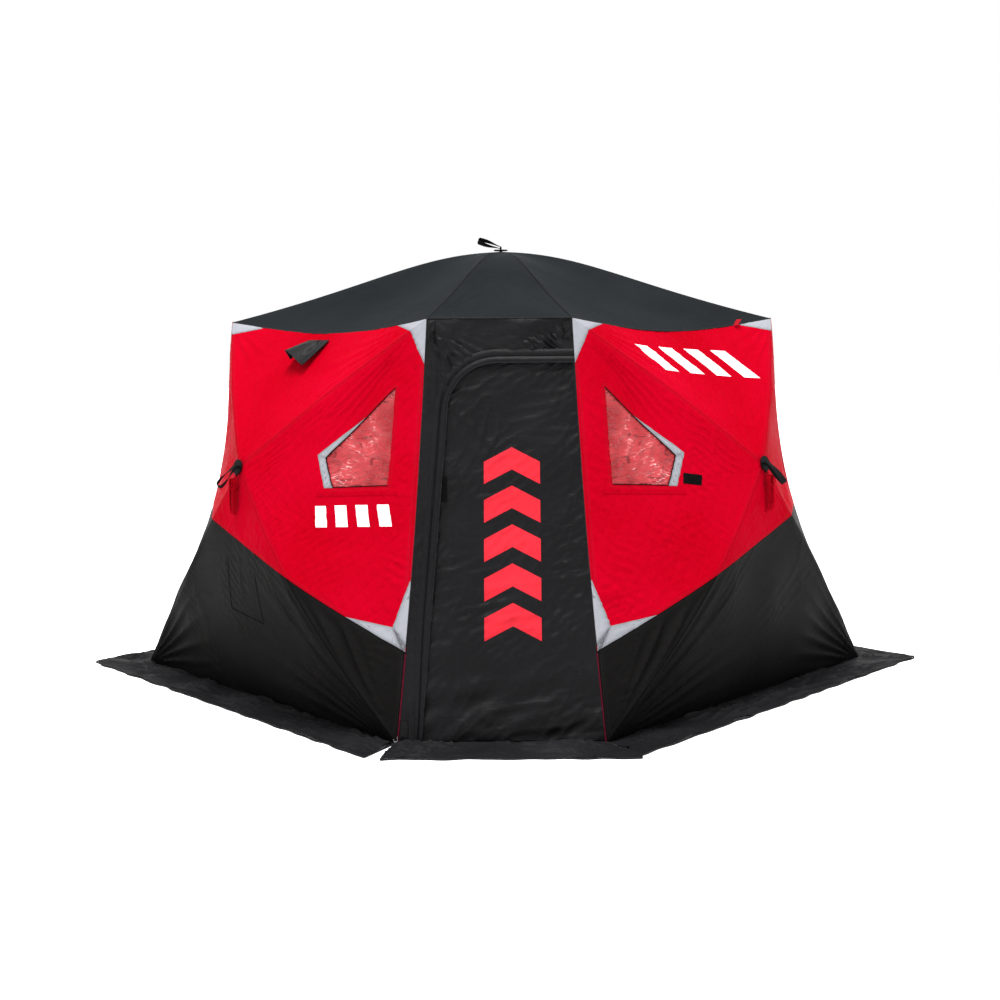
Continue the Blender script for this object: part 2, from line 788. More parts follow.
def waves(seed, u, v, crest, spread, length, count=9):
    """A band of waves whose crests lie about one direction. About -1 to 1."""
    rng = np.random.default_rng(seed)
    total = np.zeros_like(u)
    for _ in range(count):
        turn = crest + rng.normal(0, spread) + math.pi / 2
        pitch = length * rng.uniform(0.65, 1.5)
        phase = (u * math.cos(turn) + v * math.sin(turn)) * 2 * math.pi / pitch
        total += np.cos(phase + rng.uniform(0, 2 * math.pi))
    return total / math.sqrt(count)


def creases(seed, u, v, crest, spread, length, sharp=0.45):
    """Narrow raised lines in patches, as pulled cloth has. 0 to 1."""
    field = waves(seed, u, v, crest, spread, length)
    patch = smooth_step(0.5 + 0.9 * waves(seed + 50, u, v, crest, 1.5, length * 5, 5))
    return np.exp(-((field / sharp) ** 2)) * patch


def fan(seed, u, v, corner, middle, spread, folds, near, reach):
    """Folds that leave a corner like spokes, strongest between near and reach. -1 to 1."""
    rng = np.random.default_rng(seed)
    du, dv = u - corner[0], v - corner[1]
    distance = np.hypot(du, dv)
    turn = np.degrees(np.arctan2(dv, du)) - middle
    turn = (turn + 180) % 360 - 180
    inside = np.exp(-((turn / spread) ** 4))
    along = smooth_step(distance / near) * (1 - smooth_step((distance - near) / (reach - near)))
    wander = 0.5 * waves(seed, u, v, math.radians(middle), 0.5, 0.5, 4)
    phase = turn / spread * folds * math.pi / 2 + rng.uniform(0, 6) + wander
    return inside * along * (np.exp(-((np.sin(phase) / 0.70) ** 2)) * 2 - 1)


def quilt(u, v):
    level = u * math.cos(QUILT_LEAN) * math.pi / QUILT
    rising = v * math.sin(QUILT_LEAN) * math.pi / QUILT
    return np.sqrt(np.abs(np.sin(level + rising) * np.sin(level - rising)) + 1e-9)


def clearance(u, v, borders, width):
    """0 on every border, 1 beyond width from all of them."""
    points = np.stack([u, v], -1)
    share = np.ones_like(u)
    for start, end in borders:
        share = share * smooth_step(line_distance(points, start, end)[0] / width)
    return share


# ---------------------------------------------------------------- the four hub walls

PANEL_NAMES = ("bottom", "side", "eave", "door")


class Wall:
    """One leaning wall. Its plane has axes along (from the door to the side corner), up and out."""

    def __init__(self, name, left, front, seed):
        self.name = name
        self.seed = seed
        self.body = f"hub_{name}"
        self.door_foot = vec(left * DOOR_FOOT_HALF, front * FOOT_FRONT, 0)
        self.side_foot = vec(left * FOOT_SIDE, 0, 0)
        self.side_top = vec(left * TOP_SIDE, 0, EAVE_Z)
        self.door_top = vec(left * DOOR_TOP_HALF, front * TOP_FRONT, EAVE_Z)
        foot, top = self.side_foot - self.door_foot, self.side_top - self.door_top
        along = unit(foot)
        rise = self.side_top + self.door_top - self.side_foot - self.door_foot
        up = unit(rise - along * np.dot(rise, along))
        out = np.cross(along, up)
        out = out if np.dot(out, vec(left, front, 0)) > 0 else -out
        self.along, self.up, self.out = along, up, out
        self.place = Place(self.door_foot, along, up, out)
        crossing = np.linalg.norm(foot) / (np.linalg.norm(foot) + np.linalg.norm(top))
        middle = self.door_foot + (self.side_top - self.door_foot) * crossing
        self.hub_foot = middle + up * HUB_LIFT
        self.hub = self.hub_foot + out * HUB_BULGE
        world = (self.door_foot, self.side_foot, self.side_top, self.door_top)
        self.world_corners = world
        self.corners = [self.place.local(corner) for corner in world]
        hub = self.place.local(self.hub)
        self.hub_local = hub
        inward = unit(vec(-out[0], -out[1], 0))
        pulls = (
            (vec(0, 0, 0), 1.0),
            (vec(-left * SIDE_TUCK, 0, 0), SIDE_TUCK_POWER),
            (inward * EAVE_TUCK - vec(0, 0, EAVE_SAG), 1.0),
            (vec(-left * SEAM_TUCK, 0, 0), 1.0),
        )
        self.panels = []
        for first, (pull, power) in enumerate(pulls):
            second = (first + 1) % 4
            local_pull = self.place.axes @ pull
            self.panels.append(
                Panel(
                    self.place, (self.corners[first], self.corners[second]), hub,
                    (WALL_BOWS[first], WALL_BOWS[second]), 1.0, local_pull, power,
                )
            )
        self.seam = self.colour_seam()
        self.sheets = [
            folded(panel.grid(step), self.relief(number))
            for number, (panel, step) in enumerate(zip(self.panels, STEPS))
        ]

    def colour_seam(self):
        """The colour seam's four points: on the two edges and on the two lower poles."""
        ends = []
        for foot, top, height in (
            (self.corners[0], self.corners[3], COLOUR_AT_DOOR),
            (self.corners[1], self.corners[2], COLOUR_AT_SIDE),
        ):
            ends.append(tuple((foot + (top - foot) * height / top[1])[:2]))
        crossings = []
        for foot, share in zip(self.corners[:2], COLOUR_AT_POLES):
            crossings.append(tuple((foot + (self.hub_local - foot) * share)[:2]))
        return [ends[0], crossings[0], crossings[1], ends[1]]

    def seam_in(self, number):
        return {0: self.seam[1:3], 1: self.seam[2:4], 3: self.seam[0:2]}.get(number)

    def relief(self, number):
        """The folds of one panel, as a function of the place in the wall's plane."""
        seed = self.seed * 100 + number * 10
        borders = self.panels[number].borders()
        door_top, side_top = self.corners[3][:2], self.corners[2][:2]
        seam = self.seam_in(number)

        def height(u, v):
            total = 0.0026 * waves(seed, u, v, 0.6, 0.9, 0.42, 8)
            total = total + 0.0016 * creases(seed + 1, u, v, 0.55, 0.30, 0.085)
            padding = 0.0010 * quilt(u, v) + 0.0030 * creases(seed + 6, u, v, -0.75, 0.25, 0.060, 0.4)
            below = np.zeros_like(u)
            if seam:
                run = unit(vec(*seam[1]) - vec(*seam[0]))
                above = (v - seam[0][1]) * run[0] - (u - seam[0][0]) * run[1]
                padding = padding * smooth_step(above / 0.03)
                below = smooth_step((-0.004 - above) / 0.07)
            total = total + padding
            if number == 0:
                spokes = 0.0100 * fan(seed + 2, u, v, (0, 0), 37, 8, 2, 0.30, 1.10)
                spokes = spokes + 0.0060 * fan(seed + 5, u, v, (0, 0), 16, 13, 4, 0.25, 1.10)
                spokes = spokes + 0.0075 * fan(seed + 3, u, v, (2.09, 0), 158, 18, 5, 0.20, 0.85)
                total = total + below * spokes
            if number == 1:
                total = total + 0.0045 * below * fan(seed + 2, u, v, (2.09, 0), 118, 12, 3, 0.30, 0.85)
            if number == 2:
                total = total + 0.0045 * fan(seed + 2, u, v, door_top, -24, 14, 4, 0.22, 0.85)
                total = total + 0.0030 * fan(seed + 3, u, v, side_top, 205, 12, 3, 0.25, 0.60)
            if number == 3:
                spokes = 0.0140 * fan(seed + 2, u, v, (0, 0), 50, 11, 3, 0.50, 1.60)
                total = total + below * spokes
                total = total + 0.0045 * fan(seed + 3, u, v, door_top, -56, 9, 4, 0.25, 0.85)
                beside = np.exp(-(((u - 0.12) / 0.10) ** 2))
                total = total + 0.0060 * beside * creases(seed + 4, u, v, 0.20, 0.20, 0.060)
            return total * clearance(u, v, borders, 0.030)

        return height


def walls():
    sides = (("front_left", -1, -1), ("front_right", 1, -1), ("back_left", -1, 1), ("back_right", 1, 1))
    return [Wall(*side, seed) for seed, side in enumerate(sides, 3)]


def strip(start, end, width):
    """A straight band of a width to the left of a line, as a convex outline."""
    a, b = vec(*start), vec(*end)
    run = unit(b - a)
    left = vec(-run[1], run[0]) * width
    return [tuple(a), tuple(b), tuple(b + left), tuple(a + left)]


def edges_of(outline):
    """The sides of a closed outline."""
    return [(np.array(a), np.array(b)) for a, b in zip(outline, [*outline[1:], outline[0]])]


def build_wall_cloth(wall):
    for number, panel in enumerate(wall.panels):
        sheet = wall.sheets[number]
        seam = wall.seam_in(number)
        borders = panel.borders() + ([tuple(map(np.array, seam))] if seam else [])
        upper = bmesh_of(*sheet)
        if seam:
            keep_left(upper, *seam)
        if number == 3:
            cut_hole(upper, list(WINDOW))
            borders = borders + edges_of(WINDOW)
        parts = [("upper", upper, "red", "red_cloth")]
        if seam:
            lower = bmesh_of(*sheet)
            keep_left(lower, seam[1], seam[0])
            parts.append(("lower", lower, "black", "black_cloth"))
        for part, bm, look, slot in parts:
            name = f"{part}_{wall.name}_{PANEL_NAMES[number]}"
            piece = cloth_piece(name, wall.place, arrays_of(bm), look, borders)
            panel.blend(piece, wall.body)
            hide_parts(f"{part}_wall_{wall.name}")


def build_decal(wall, number, name, outlines, look, lift=LIFT, sewn=True, above=None):
    """A thin piece on one panel, cut to convex outlines from the panel's own folded sheet."""
    parts = []
    for outline in outlines:
        bm = keep_inside(bmesh_of(*wall.sheets[number]), outline)
        if above:
            keep_left(bm, *above)
        parts.append(arrays_of(bm))
    borders = [edge for outline in outlines for edge in edges_of(outline)] if sewn else []
    sheet = joined([part for part in parts if len(part[1])])
    piece = cloth_piece(name, wall.place, sheet, look, borders, lift, PATCH)
    wall.panels[number].blend(piece, wall.body)
    return piece


def build_patches(wall):
    """Light grey patches at the foot of the door seam and at both ends of the eave."""
    door_top = wall.corners[3]
    low, high = wall.seam[0], wall.seam[1]

    def on_door_edge(v, inset=-0.02):
        return (float(door_top[0] * v / door_top[1]) + inset, v)

    inner = (0.106, 0.447)
    end = tuple(vec(*low) + (vec(*high) - vec(*low)) * 0.45)
    foot = [
        [on_door_edge(0.30), inner, on_door_edge(0.640, -0.004), on_door_edge(0.62)],
        [tuple(low), end, inner, (low[0] - 0.02, low[1] + 0.01)],
    ]
    build_decal(wall, 3, f"foot_patch_{wall.name}", foot, "grey", above=wall.seam_in(3))
    corner_patches = (
        (3, "door_corner", [on_door_edge(1.44, -0.05), (0.288, 1.677), (0.216, 1.76), (0.12, 1.76)]),
        (2, "eave", [(0.10, 1.80), (0.20, 1.66), (0.282, 1.663), (0.46, 1.70), (0.46, 1.80)]),
        (2, "side", [(1.56, 1.80), (1.56, 1.690), (1.72, 1.655), (1.90, 1.640), (1.90, 1.80)]),
        (1, "side_return", [(1.72, 1.655), (1.92, 1.655), (1.92, 1.80), (1.72, 1.80)]),
    )
    for number, name, outline in corner_patches:
        build_decal(wall, number, f"{name}_patch_{wall.name}", [outline], "grey")


def build_window(wall):
    """The clear film behind the cloth, its black binding and the grey band beside it."""
    panel = wall.panels[3]
    middle = np.mean(WINDOW, axis=0)
    grown = [tuple(middle + (vec(*corner) - middle) * 1.07) for corner in WINDOW]
    sheet = arrays_of(keep_inside(bmesh_of(*panel.grid(FILM_STEP)), grown))
    folds = wall.relief(3)
    seed = wall.seed * 7

    def crumpled(u, v):
        small = 0.0045 * creases(seed, u, v, -0.9, 0.5, 0.050, 0.35)
        large = 0.0060 * creases(seed + 1, u, v, 1.0, 0.4, 0.10, 0.30)
        return folds(u, v) + clearance(u, v, edges_of(WINDOW), 0.05) * (small + large - 0.004)

    piece = cloth_piece(
        f"window_film_{wall.name}", wall.place, folded(sheet, crumpled), "film",
        panel.borders(), -CLOTH - 0.0015, PATCH,
    )
    panel.blend(piece, wall.body)
    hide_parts(f"window_{wall.name}")
    frame_strips = [strip(a, b, 0.004) for a, b in zip(WINDOW[1:], [*WINDOW[2:], WINDOW[0]])]
    build_decal(wall, 3, f"window_binding_{wall.name}", frame_strips, "trim", LIFT, sewn=False)
    band = [
        [(0.400, 1.2785), (0.544, 1.090), (0.586, 1.097)],
        [(0.475, 0.968), (0.513, 0.962), (0.586, 1.097), (0.544, 1.090)],
    ]
    build_decal(wall, 3, f"window_band_{wall.name}", band, "grey", 2 * LIFT)
    sill = strip((0.19, 0.975), (0.544, 0.922), 0.013)
    build_decal(wall, 3, f"window_sill_{wall.name}", [sill], "red", 2 * LIFT)


def eave_points(wall, count=60):
    s = np.linspace(0, 1, count)
    return wall.place.world(wall.panels[2].surface(s, np.zeros(count)))


def build_wall_edges(wall):
    """Bindings along the eave and the foot, and the piping of the door seam."""
    bead(f"eave_binding_{wall.name}", eave_points(wall), EAVE_BEAD, "binding")
    s = np.linspace(0, 1, 60)
    edge = wall.panels[3].surface(s, np.zeros(60))
    inward = vec(-np.sign(wall.door_foot[0]) * SEAM_CLEAR / 2, 0, 0)
    low = wall.place.world(edge[edge[:, 1] <= wall.seam[0][1] + 0.01]) + inward
    high = wall.place.world(edge[edge[:, 1] >= wall.seam[0][1]]) + inward
    bead(f"door_piping_{wall.name}", low, DOOR_BEAD, "piping")
    bead(f"door_seam_{wall.name}", high, DOOR_BEAD, "binding")
    foot = wall.place.world(wall.panels[0].surface(s, np.zeros(60))) + vec(0, 0, FOOT_BEAD)
    bead(f"foot_binding_{wall.name}", foot, FOOT_BEAD, "binding")


def build_side_seam(wall, side):
    """The seam of two hub walls at the side corner: red above the colour seam, black below."""
    edge = wall.panels[1].surface(np.linspace(0, 1, 70), np.zeros(70))
    split = wall.seam[3][1]
    low, high = edge[edge[:, 1] <= split], edge[edge[:, 1] >= split]
    bead(f"side_seam_low_{side}", wall.place.world(low), SIDE_BEAD, "binding")
    bead(f"side_seam_high_{side}", wall.place.world(high), SIDE_BEAD, "red_bead")


# ---------------------------------------------------------------- roof


def roof_corners():
    return [
        vec(DOOR_TOP_HALF, -TOP_FRONT, 0), vec(TOP_SIDE, 0, 0), vec(DOOR_TOP_HALF, TOP_FRONT, 0),
        vec(-DOOR_TOP_HALF, TOP_FRONT, 0), vec(-TOP_SIDE, 0, 0), vec(-DOOR_TOP_HALF, -TOP_FRONT, 0),
    ]


ROOF_NAMES = ("front_right", "back_right", "back", "back_left", "front_left", "front")
ROOF_PLACE = Place(vec(0, 0, EAVE_Z), vec(1, 0, 0), vec(0, 1, 0), vec(0, 0, 1))


def build_roof(all_walls):
    corners = roof_corners()
    hub = vec(0, 0, PEAK_Z - EAVE_Z)
    pulls = {}
    for wall in all_walls:
        inward = unit(vec(-wall.out[0], -wall.out[1], 0))
        pulls[wall.name] = inward * EAVE_TUCK - vec(0, 0, EAVE_SAG)
    for number, name in enumerate(ROOF_NAMES):
        first, second = corners[number], corners[(number + 1) % 6]
        pull = pulls.get(name, vec(0, 0, 0))
        panel = Panel(ROOF_PLACE, (first, second), hub, (ROOF_BOW, ROOF_BOW), ROOF_BOW_SKEW, pull, 1.0)
        borders = panel.borders()
        seed = 900 + number * 10

        def height(u, v, seed=seed, borders=borders, first=first, second=second):
            spoke = math.degrees(math.atan2(*(-(first + second) / 2)[1::-1]))
            total = 0.0022 * waves(seed, u, v, 0.4, 1.2, 0.5, 8)
            total = total + 0.0018 * fan(seed + 1, u, v, first[:2], spoke - 18, 16, 4, 0.2, 0.75)
            total = total + 0.0018 * fan(seed + 2, u, v, second[:2], spoke + 18, 16, 4, 0.2, 0.75)
            total = total + 0.0010 * creases(seed + 3, u, v, math.radians(spoke), 0.3, 0.07)
            return total * clearance(u, v, borders, 0.045)

        piece = cloth_piece(
            f"roof_{name}", ROOF_PLACE, folded(panel.grid(ROOF_STEP), height), "roof",
            borders,
        )
        panel.blend(piece, "hub_roof")
        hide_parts("roof_cloth")
        if pull[2] == 0:
            line = ROOF_PLACE.world(panel.surface(np.linspace(0, 1, 12), np.zeros(12)))
            bead(f"eave_binding_{name}", line, EAVE_BEAD, "binding")


# ---------------------------------------------------------------- doors


class Door:
    """A narrow leaning wall. Across runs to the right as seen from outside."""

    def __init__(self, name, front):
        self.name = name
        self.front = front
        foot = vec(0, front * FOOT_FRONT, 0)
        across = vec(-front, 0, 0)
        rise = vec(0, front * TOP_FRONT, EAVE_Z) - foot
        self.height = float(np.linalg.norm(rise))
        up = unit(rise)
        self.place = Place(foot, across, up, np.cross(across, up))

    def seam(self, up):
        share = up / self.height
        straight = DOOR_FOOT_HALF + (DOOR_TOP_HALF - DOOR_FOOT_HALF) * share
        return straight - SEAM_TUCK * np.sin(math.pi * share)

    def zip_line(self, shift=0.0, steps=14):
        """The zip from the foot to the far end of its arch, shift outside the leaf's own edge."""
        top = LEAF_TOP + shift
        radius = ARCH_RADIUS + shift
        spring = top - radius
        line = [vec(ZIP_FOOT + ZIP_LEAN * LEAF_FOOT - shift, LEAF_FOOT)]
        side = ZIP_FOOT + ZIP_LEAN * spring - shift
        for share in np.linspace(0.1, 0.9, 9):
            up = LEAF_FOOT + (spring - LEAF_FOOT) * share
            line.append(vec(ZIP_FOOT + ZIP_LEAN * up - shift, up))
        for turn in np.linspace(0, math.pi / 2, steps):
            line.append(vec(side + radius * (1 - math.cos(turn)), spring + radius * math.sin(turn)))
        end = float(self.seam(top)) - SEAM_CLEAR
        for share in np.linspace(0.15, 1.0, 6):
            line.append(vec(line[-1][0] + (end - line[-1][0]) * share, top))
        return np.array(line)

    def borders(self):
        foot, top = self.seam(0.0), self.seam(self.height)
        left = (vec(-foot, 0), vec(-top, self.height))
        right = (vec(foot, 0), vec(top, self.height))
        return [left, right, (vec(-top, self.height), vec(top, self.height)), (vec(-foot, 0), vec(foot, 0))]

    def relief(self, leaf):
        seed = 400 + (0 if self.front < 0 else 50)
        borders = self.borders()
        zip_points = self.zip_line()

        def height(p, q):
            total = 0.0030 * waves(seed, p, q, 0.9, 0.8, 0.30, 8)
            total = total + 0.0045 * creases(seed + 1, p, q, 1.1, 0.6, 0.10)
            if leaf:
                slant, rise = (p + 0.12) * 0.70 + (q - 1.276) * 0.71, (p + 0.12) * 0.71 - (q - 1.276) * 0.70
                total = total + 0.0050 * np.exp(-((slant / 0.010) ** 2)) * np.exp(-((rise / 0.16) ** 4))
                total = total + 0.0050 * creases(seed + 2, p, q, 0.1, 0.35, 0.11)
                total = total + 0.0050 * creases(seed + 7, p, q, 0.5, 0.5, 0.07)
                low = np.exp(-(((q - 0.12) / 0.16) ** 2))
                total = total + 0.0075 * low * waves(seed + 3, p, q, 0.15, 0.25, 0.12)
                away = np.hypot(p[:, None] - zip_points[None, :, 0], q[:, None] - zip_points[None, :, 1])
                total = total - 0.0060 * np.exp(-((np.min(away, axis=1) / 0.055) ** 2))
            else:
                pull = fan(seed + 4, p, q, (-0.30, 1.72), -52, 30, 7, 0.10, 0.50)
                pull = pull + fan(seed + 5, p, q, (0.30, 1.72), 222, 30, 7, 0.10, 0.50)
                total = total + 0.0075 * pull
                top = np.exp(-(((q - 1.64) / 0.09) ** 2))
                total = total + 0.0050 * top * creases(seed + 8, p, q, 0.9, 0.4, 0.06)
                edge = np.exp(-(((p + 0.36) / 0.07) ** 2))
                total = total + 0.0065 * edge * creases(seed + 6, p, q, -0.6, 0.4, 0.065)
            return total * clearance(p, q, borders, 0.020)

        return height


def mark_outlines():
    """A plain column of five chevrons, as two slanted bars each."""
    middle, half, thick, rise = 0.048, 0.115, 0.092, 0.060
    outlines = []
    for number in range(5):
        foot = 0.40 + number * 0.158
        tip, tip_top = (middle, foot + rise), (middle, foot + rise + thick)
        outlines.append([(middle - half, foot), tip, tip_top, (middle - half, foot + thick)])
        outlines.append([tip, (middle + half, foot), (middle + half, foot + thick), tip_top])
    return outlines


def build_surround(door):
    """The fixed cloth outside the zip, up the left edge and along the top."""
    count = 150
    outer_up = np.linspace(LEAF_FOOT, door.height, 60)
    edge = np.stack([-(door.seam(outer_up) - SEAM_CLEAR), outer_up], -1)
    top_across = np.linspace(edge[-1][0], door.seam(door.height) - SEAM_CLEAR, 24)[1:]
    outer = np.concatenate([edge, np.stack([top_across, np.full(23, door.height)], -1)])
    sheet = between(resample(outer, count), resample(door.zip_line(), count), np.linspace(0, 1, 15))
    fixed = cloth_piece(
        f"door_frame_{door.name}", door.place, folded(sheet, door.relief(False)), "door",
        door.borders(),
    )
    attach(fixed, "root")
    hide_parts(f"door_surround_{door.name}")


def build_leaf(door):
    """The leaf inside the zip, with the mark printed on it."""
    leaf_edge = door.zip_line(-ZIP_GAP)
    columns = 64
    lines = []
    for up in np.linspace(LEAF_FOOT, LEAF_TOP - ZIP_GAP, 150):
        left = np.interp(up, leaf_edge[:24, 1], leaf_edge[:24, 0])
        across = np.linspace(left, float(door.seam(up)) - SEAM_CLEAR, columns)
        lines.append(np.stack([across, np.full(columns, up), np.zeros(columns)], -1))
    sheet = folded(lofted(lines), door.relief(True))
    leaf = cloth_piece(
        f"door_panel_{door.name}", door.place, sheet, "door", door.borders()
    )
    hang(leaf, door)
    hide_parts(f"door_leaf_{door.name}")
    parts = [arrays_of(keep_inside(bmesh_of(*sheet), outline)) for outline in mark_outlines()]
    mark = cloth_piece(
        f"door_mark_{door.name}", door.place, joined(parts), "mark_red", [], LIFT, 0.0005
    )
    hang(mark, door)


def build_door(door):
    build_surround(door)
    build_leaf(door)
    build_flap(door)
    build_zip(door)
    build_pockets(door)


def hang(piece, door):
    """The leaf bends over its last few centimetres beside the hinge seam, which leans inward."""
    middle = door.height / 2
    hinge = vec(float(door.seam(middle)), middle, 0)
    lean = vec(DOOR_TOP_HALF - DOOR_FOOT_HALF, door.height, 0)
    square = unit(vec(-lean[1], lean[0], 0))
    start, end = hinge + square * 0.006, hinge + square * 0.075
    start, end = door.place.world(start), door.place.world(end)
    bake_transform(piece)


def build_flap(door):
    """The storm flap: a padded band sewn outside the zip, its free edge standing off the leaf."""
    count = 170
    inner, outer = resample(door.zip_line(-FLAP_IN), count), resample(door.zip_line(FLAP_OUT), count)
    taper = smooth_step(np.linspace(0, 1, count) / 0.25)[:, None]
    outer = inner + (outer - inner) * (0.55 + 0.45 * taper)
    shares = np.linspace(0, 1, 15)
    across = np.repeat(shares, count)
    run = np.tile(np.linspace(0, 1, count), len(shares))
    seed = 600 + (0 if door.front < 0 else 20)

    def height(p, q):
        free = 0.0105 * (1 - across) ** 1.6
        groove = -0.0030 * np.exp(-(((across - 0.50) / 0.05) ** 2))
        puff = 0.0050 * np.sin(math.pi * np.clip(across / 0.5, 0, 1))
        puff = puff + 0.0038 * np.sin(math.pi * np.clip((across - 0.5) / 0.5, 0, 1))
        ripple = 0.0022 * creases(seed, run * 3.2, across * 0.05, 1.35, 0.3, 0.05) * (1 - across)
        return 0.0025 + free + groove + puff + ripple

    flap = cloth_piece(
        f"storm_flap_{door.name}", door.place, folded(between(inner, outer, shares), height), "door",
        [], 0.0, 0.0018,
    )
    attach(flap, "root")
    edge = door.place.world(at_height(inner, 0.0135))
    bead(f"flap_edge_{door.name}", edge, 0.0020, "binding")


def build_zip(door):
    """The coil zip in its gap, and the pull tab below the slider."""
    line = resample(door.zip_line(-ZIP_GAP / 2), 260)
    bead(f"zip_coil_{door.name}", door.place.world(at_height(line, 0.0004)), 0.0022, "plastic")
    middle = ZIP_FOOT + ZIP_LEAN * ZIP_PULL_UP + 0.014
    half, foot, top = 0.0115, ZIP_PULL_UP - 0.118, ZIP_PULL_UP - 0.012
    ups = np.linspace(foot, top, 20)
    lines = []
    for share in np.linspace(-1, 1, 7):
        bend = 0.0010 * np.sin(math.pi * (ups - foot) / (top - foot)) + 0.0004 * (1 - share**2)
        lines.append(np.stack([np.full(20, middle + half * share), ups, bend], -1))
    tab = cloth_piece(
        f"zip_tab_{door.name}", door.place, lofted(lines), "trim", [], 0.0060, 0.0022
    )
    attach(tab, f"zip_pull_{door.name}")
    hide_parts(f"zip_pull_{door.name}")
    build_slider(door, vec(middle - 0.010, ZIP_PULL_UP, 0.0052))


def build_slider(door, at):
    """The slider's body: a rounded wedge, narrower at its upper end."""
    mesh = bpy.data.meshes.new(f"zip_slider_{door.name}")
    bm = bmesh.new()
    bmesh.ops.create_cube(bm, size=1.0)
    wide, tall, thick = 0.012, 0.016, 0.0045
    for vert in bm.verts:
        narrow = 0.6 if vert.co.y > 0 else 1.0
        vert.co = Vector((vert.co.x * wide * narrow, vert.co.y * tall, vert.co.z * thick))
    bmesh.ops.bevel(bm, geom=bm.edges[:], offset=0.0012, segments=3, affect="EDGES")
    bm.to_mesh(mesh)
    bm.free()
    mesh.materials.append(LOOKS["plastic"])
    mesh.shade_smooth()
    mesh.set_sharp_from_angle(angle=math.radians(40))
    turn = Matrix(door.place.axes.T.tolist()).to_4x4()
    slider = add_object(mesh.name, mesh, Matrix.Translation(door.place.world(at)) @ turn)
    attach(slider, f"zip_pull_{door.name}")


def build_pockets(door):
    """Four doubled pockets in the corners, which hold the pole tips."""
    boxes = (
        ("top_left", (-0.305, -0.268, 1.628, 1.722)), ("top_right", (0.262, 0.303, 1.640, 1.722)),
        ("foot_left", (-0.405, -0.369, 0.020, 0.094)), ("foot_right", (0.370, 0.405, 0.020, 0.090)),
    )
    relief = door.relief(False)
    for corner, (left, right, low, high) in boxes:
        points, triangles = box_grid(left, right, low, high, 0.006)
        edge = door.seam(points[:, 1]) - SEAM_CLEAR
        points[:, 0] = np.clip(points[:, 0], -edge, edge)
        borders = edges_of([(left, low), (right, low), (right, high), (left, high)])

        def raised(p, q, borders=borders):
            return relief(p, q) + 0.0016 * clearance(p, q, borders, 0.010) + 0.0010

        pocket = cloth_piece(
            f"pocket_{door.name}_{corner}", door.place, folded(facing((points, triangles)), raised),
            "door", borders, 0.0, 0.0012,
        )
        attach(pocket, "root")


# ---------------------------------------------------------------- snow skirt

FLOOR_PLACE = Place(vec(0, 0, 0), vec(1, 0, 0), vec(0, 1, 0), vec(0, 0, 1))


def build_skirt(name, inner, outer, seed, count, turned_up=0.0):
    """A strip of cloth on the floor from the wall's foot to its hem, loose and wrinkled.

    Its sewn edge can be turned up against the wall.
    """
    inner, outer = resample(inner, count), resample(outer, count)
    length = line_length(inner)
    at = np.linspace(0, length, count)
    wander = 0.020 * waves(seed + 5, at, 0 * at, math.pi / 2, 0.3, 0.16) - 0.02
    outer = outer + (outer - inner) * wander[:, None]
    shares = np.linspace(0, 1, 26)
    across = np.repeat(shares, count)
    run = np.tile(at, len(shares))

    def height(x, y):
        along_folds = 0.0130 * creases(seed, run, across * 0.22, 0.08, 0.08, 0.085, 0.5)
        cross = 0.0100 * creases(seed + 1, run, across * 0.22, 1.15, 0.40, 0.075, 0.4)
        soft = 0.0055 * np.maximum(1 + waves(seed + 2, run, across * 0.22, 0.6, 1.0, 0.20), 0.0)
        hem = np.where(across > 0.90, 0.0012, 0.0)
        free = smooth_step(across / 0.12) * (1 - 0.55 * smooth_step((across - 0.75) / 0.25))
        sewn = turned_up * (1 - smooth_step(across / 0.10))
        return 0.0032 + hem + sewn + free * (along_folds + cross + soft)

    piece = cloth_piece(
        f"skirt_cloth_{name}", FLOOR_PLACE, folded(between(inner, outer, shares), height), "skirt",
        [], 0.0, 0.0022,
    )
    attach(piece, "root")
    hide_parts(f"skirt_{name}")
    hem_line = resample(np.concatenate([inner[:1], outer, inner[-1:]]), 2 * count)
    bead(f"skirt_hem_{name}", at_height(hem_line, 0.0042), 0.0026, "binding")


def build_skirts():
    """Two strips round the sides and one at each door, which laps over a side strip's end."""
    foot = vec(DOOR_FOOT_HALF, FOOT_FRONT)
    side = vec(FOOT_SIDE, 0)
    along = unit(side - foot)
    outward = vec(-along[1], along[0])
    tip = FOOT_SIDE + SKIRT / outward[0]
    under = FOOT_SIDE - SKIRT_SEWN / outward[0]
    end_in = foot - outward * SKIRT_SEWN + along * SKIRT_END_GAP
    end_out = foot + outward * SKIRT - along * SKIRT_END_FLARE
    for name, sx in (("right", 1), ("left", -1)):
        inner = [(sx * end_in[0], -end_in[1]), (sx * under, 0), (sx * end_in[0], end_in[1])]
        outer = [(sx * end_out[0], -end_out[1]), (sx * tip, 0), (sx * end_out[0], end_out[1])]
        build_skirt(name, inner, outer, 700 + sx, 221)
    half, sewn, reach = DOOR_FOOT_HALF, FOOT_FRONT - SKIRT_SEWN, FOOT_FRONT + SKIRT_DOOR
    for name, sy in (("front", -1), ("back", 1)):
        inner = [(sy * half, sy * sewn), (-sy * half, sy * sewn)]
        outer = [(sy * (half + SKIRT_DOOR_FLARE), sy * reach), (-sy * (half + SKIRT_DOOR_LAP), sy * reach)]
        build_skirt(name, inner, outer, 720 + sy, 81, SKIRT_TURNED_UP)


# ---------------------------------------------------------------- hubs, poles, straps and ropes


